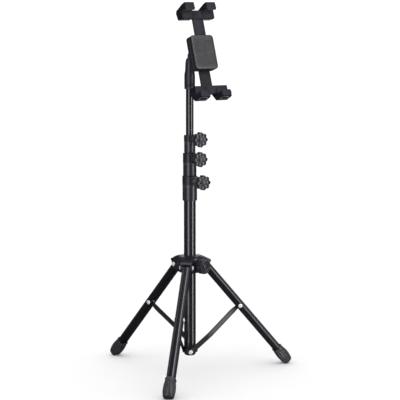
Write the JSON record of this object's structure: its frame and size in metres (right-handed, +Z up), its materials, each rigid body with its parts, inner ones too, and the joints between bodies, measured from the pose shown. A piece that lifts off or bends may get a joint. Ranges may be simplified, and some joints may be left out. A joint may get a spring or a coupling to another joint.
{
  "type": "music stand",
  "caption": "Folding tripod music stand: braced channel legs on a sliding hub, telescopic column with clamp knobs, and a tilting tablet holder with hooked claws.",
  "frame": {"origin": "bottom centre of the whole stand, on the floor", "axes": "+Z up along the column, -Y towards the player, +X to the right of someone facing the music"},
  "size_m": [0.3914, 0.3961, 0.7785],
  "materials": {
    "black_paint": "gloss black powder coat",
    "inner_paint": "gloss black, polished by sliding",
    "black_plastic": "satin moulded",
    "knob_plastic": "matte moulded",
    "black_rubber": "matte",
    "nickel": "bright nickel plate",
    "zinc_steel": "zinc plated",
    "nylon": "natural nylon"
  },
  "bodies": {
    "column": {"column_tube_outer": "black_paint", "clamp_collar_lower": "black_plastic", "clamp_pad_lower": "nylon", "bottom_bracket": "black_plastic", "bracket_rivet_front": "nickel", "bracket_rivet_side": "nickel", "bracket_rivet_rear": "nickel"},
    "hub": {"hub_body": "black_plastic", "hub_pad": "nylon", "hub_rivet_front": "nickel", "hub_rivet_side": "nickel", "hub_rivet_rear": "nickel"},
    "hub_knob": {"hub_knob": "knob_plastic", "hub_screw": "zinc_steel"},
    "leg_front": {"leg_front": "black_paint", "foot_front": "black_rubber", "brace_rivet_front_a": "nickel", "brace_rivet_front_b": "nickel"},
    "brace_front": {"brace_front": "black_paint"},
    "leg_side": {"leg_side": "black_paint", "foot_side": "black_rubber", "brace_rivet_side_a": "nickel", "brace_rivet_side_b": "nickel"},
    "brace_side": {"brace_side": "black_paint"},
    "leg_rear": {"leg_rear": "black_paint", "foot_rear": "black_rubber", "brace_rivet_rear_a": "nickel", "brace_rivet_rear_b": "nickel"},
    "brace_rear": {"brace_rear": "black_paint"},
    "second_tube": {"column_tube_second": "inner_paint", "clamp_collar_middle": "black_plastic", "clamp_pad_middle": "nylon"},
    "third_tube": {"column_tube_third": "inner_paint", "clamp_collar_upper": "black_plastic", "clamp_pad_upper": "nylon"},
    "inner_tube": {"column_tube_inner": "inner_paint"},
    "lower_clamp_knob": {"clamp_knob_lower": "knob_plastic", "clamp_screw_lower": "zinc_steel"},
    "middle_clamp_knob": {"clamp_knob_middle": "knob_plastic", "clamp_screw_middle": "zinc_steel"},
    "upper_clamp_knob": {"clamp_knob_upper": "knob_plastic", "clamp_screw_upper": "zinc_steel"},
    "ball_post": {"ball_post": "black_plastic"},
    "socket": {"ball_socket": "black_plastic"},
    "socket_nut": {"socket_nut": "black_plastic"},
    "holder": {"holder_back_shell": "black_plastic", "holder_front_shell": "black_plastic", "holder_front_pad": "black_rubber", "lower_fork": "black_plastic", "lower_claw_pad_l": "black_rubber", "lower_claw_pad_r": "black_rubber", "fork_screw_l": "zinc_steel", "fork_screw_r": "zinc_steel"},
    "upper_jaw": {"upper_fork": "black_plastic", "upper_claw_pad_l": "black_rubber", "upper_claw_pad_r": "black_rubber"},
    "lock_knob": {"lock_knob": "knob_plastic", "lock_screw": "zinc_steel"}
  },
  "joints": [
    {"name": "hub_slide", "type": "slide", "parent": "column", "child": "hub", "axis": [0, 0, 1], "range_m": [0, 0.07748]},
    {"name": "leg_front_hinge", "type": "hinge", "parent": "hub", "child": "leg_front", "pos_m": [-0.05519, -0.0512, 0.2298], "axis": [0.7242, -0.6896, 0], "range_deg": [0, 40.45]},
    {"name": "brace_front_hinge", "type": "hinge", "parent": "column", "child": "brace_front", "pos_m": [-0.02871, -0.02339, 0.0447], "axis": [-0.7242, 0.6896, 0], "range_deg": [0, 37.56]},
    {"name": "leg_side_hinge", "type": "hinge", "parent": "hub", "child": "leg_side", "pos_m": [0.00297, -0.03408, 0.2298], "axis": [0.2351, 0.972, 0], "range_deg": [0, 40.45]},
    {"name": "brace_side_hinge", "type": "hinge", "parent": "column", "child": "brace_side", "pos_m": [-0.03435, -0.02505, 0.0447], "axis": [-0.2351, -0.972, 0], "range_deg": [0, 37.56]},
    {"name": "leg_rear_hinge", "type": "hinge", "parent": "hub", "child": "leg_rear", "pos_m": [-0.04093, 0.00773, 0.2298], "axis": [-0.9593, -0.2823, 0], "range_deg": [0, 40.45]},
    {"name": "brace_rear_hinge", "type": "hinge", "parent": "column", "child": "brace_rear", "pos_m": [-0.03009, -0.02911, 0.0447], "axis": [0.9593, 0.2823, 0], "range_deg": [0, 37.56]},
    {"name": "hub_knob_turn", "type": "hinge", "parent": "hub", "child": "hub_knob", "pos_m": [-0.03105, -0.02585, 0.2302], "axis": [0.2823, -0.9593, 0], "range_deg": [0, 720]},
    {"name": "second_tube_slide", "type": "slide", "parent": "column", "child": "second_tube", "axis": [0, 0, 1], "range_m": [0, 0.25]},
    {"name": "third_tube_slide", "type": "slide", "parent": "second_tube", "child": "third_tube", "axis": [0, 0, 1], "range_m": [0, 0.25]},
    {"name": "inner_tube_slide", "type": "slide", "parent": "third_tube", "child": "inner_tube", "axis": [0, 0, 1], "range_m": [-0.09, 0.15]},
    {"name": "lower_clamp_knob_turn", "type": "hinge", "parent": "column", "child": "lower_clamp_knob", "pos_m": [-0.03105, -0.02585, 0.4097], "axis": [0, -1, 0], "range_deg": [0, 720]},
    {"name": "middle_clamp_knob_turn", "type": "hinge", "parent": "second_tube", "child": "middle_clamp_knob", "pos_m": [-0.03105, -0.02585, 0.4567], "axis": [0, -1, 0], "range_deg": [0, 720]},
    {"name": "upper_clamp_knob_turn", "type": "hinge", "parent": "third_tube", "child": "upper_clamp_knob", "pos_m": [-0.03105, -0.02585, 0.4977], "axis": [0, -1, 0], "range_deg": [0, 720]},
    {"name": "post_pan", "type": "hinge", "parent": "inner_tube", "child": "ball_post", "pos_m": [-0.03105, -0.02585, 0.6182], "axis": [0, 0, 1], "continuous": true},
    {"name": "head_tilt", "type": "hinge", "parent": "ball_post", "child": "socket", "pos_m": [-0.03105, -0.04785, 0.6666], "axis": [1, 0, 0], "range_deg": [-26, 26]},
    {"name": "socket_nut_turn", "type": "hinge", "parent": "socket", "child": "socket_nut", "pos_m": [-0.03105, -0.04785, 0.6666], "axis": [0, 0.948, -0.3181], "range_deg": [0, 180]},
    {"name": "holder_roll", "type": "hinge", "parent": "socket", "child": "holder", "pos_m": [-0.03105, -0.04785, 0.6666], "axis": [0, -0.948, 0.3181], "range_deg": [-90, 90]},
    {"name": "jaw_slide", "type": "slide", "parent": "holder", "child": "upper_jaw", "axis": [0, 0.3181, 0.948], "range_m": [-0.034, 0.026]},
    {"name": "lock_knob_turn", "type": "hinge", "parent": "holder", "child": "lock_knob", "pos_m": [-0.03105, -0.04858, 0.69585], "axis": [0, 0.948, -0.3181], "range_deg": [0, 540]}
  ],
  "couplings": [
    {"joint": "leg_front_hinge", "follows": "hub_slide", "rad_per_m": 9.1003},
    {"joint": "brace_front_hinge", "follows": "hub_slide", "rad_per_m": 8.4497},
    {"joint": "leg_side_hinge", "follows": "hub_slide", "rad_per_m": 9.1003},
    {"joint": "brace_side_hinge", "follows": "hub_slide", "rad_per_m": 8.4497},
    {"joint": "leg_rear_hinge", "follows": "hub_slide", "rad_per_m": 9.1003},
    {"joint": "brace_rear_hinge", "follows": "hub_slide", "rad_per_m": 8.4497}
  ]
}
